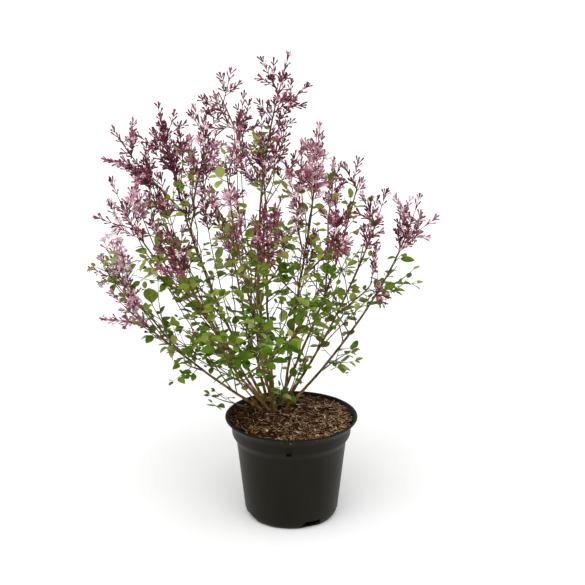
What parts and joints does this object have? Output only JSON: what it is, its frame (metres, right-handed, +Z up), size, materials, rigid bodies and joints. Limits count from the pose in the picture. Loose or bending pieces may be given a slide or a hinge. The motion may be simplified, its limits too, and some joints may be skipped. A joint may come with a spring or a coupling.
{
  "type": "lilac bush in a nursery pot",
  "caption": "Young lilac bush with loose pink and purple blossom over small green leaves on slender brown stems, rising from bark mulch in a round black nursery pot",
  "frame": {"origin": "centre of the pot's flat underside, on the surface that the pot stands on", "axes": "+Z up along the pot's axis; +X to the right and +Y to the back as seen from the side of the pot's label slot"},
  "size_m": [0.5949, 0.5104, 0.7849],
  "materials": {
    "pot_plastic": "moulded black polypropylene, satin",
    "bark_mulch": "shredded bark mulch over moist potting compost, rough",
    "bark": "thin brown bark with fine lengthwise ridges, matt",
    "leaves": "living leaves, slightly glossy",
    "blossom": "living petals and buds, matt"
  },
  "bodies": {
    "root": {"pot": "pot_plastic", "potting_soil": "bark_mulch", "stem_low_left": "bark", "bough_left": "bark", "stem_mid_left": "bark", "bough_high_left": "bark", "stem_shoulder_left": "bark", "bough_arm_left": "bark", "bough_crest_left": "bark", "stem_front_left": "bark", "bough_front": "bark", "stem_top": "bark", "bough_top_left": "bark", "stem_crest_right": "bark", "bough_front_right": "bark", "stem_inner_right": "bark", "bough_low_right": "bark", "stem_far_right": "bark", "stem_shoulder_right": "bark", "bough_back_right": "bark", "stem_back": "bark", "bough_back_left": "bark", "stem_low_back": "bark", "stem_low_front": "bark", "bough_low_front_right": "bark", "spray_low_left": "blossom", "spray_left": "blossom", "spray_mid_left": "blossom", "spray_high_left": "blossom", "spray_shoulder_left": "blossom", "spray_arm_left": "blossom", "spray_crest_left": "blossom", "spray_front_left": "blossom", "spray_front": "blossom", "spray_top": "blossom", "spray_top_left": "blossom", "spray_crest_right": "blossom", "spray_front_right": "blossom", "spray_inner_right": "blossom", "spray_low_right": "blossom", "spray_far_right": "blossom", "spray_shoulder_right": "blossom", "spray_back_right": "blossom", "spray_back": "blossom", "spray_back_left": "blossom", "spray_low_back": "blossom", "spray_low_front": "blossom", "spray_low_front_right": "blossom", "shoot_low_left": "leaves", "shoot_left_back": "leaves", "shoot_left": "leaves", "shoot_inner_left": "leaves", "shoot_back": "leaves", "shoot_middle": "leaves", "shoot_front": "leaves", "shoot_inner_right": "leaves", "shoot_outer_right": "leaves", "shoot_rim_left": "leaves", "shoot_rim_right": "leaves"}
  },
  "joints": []
}
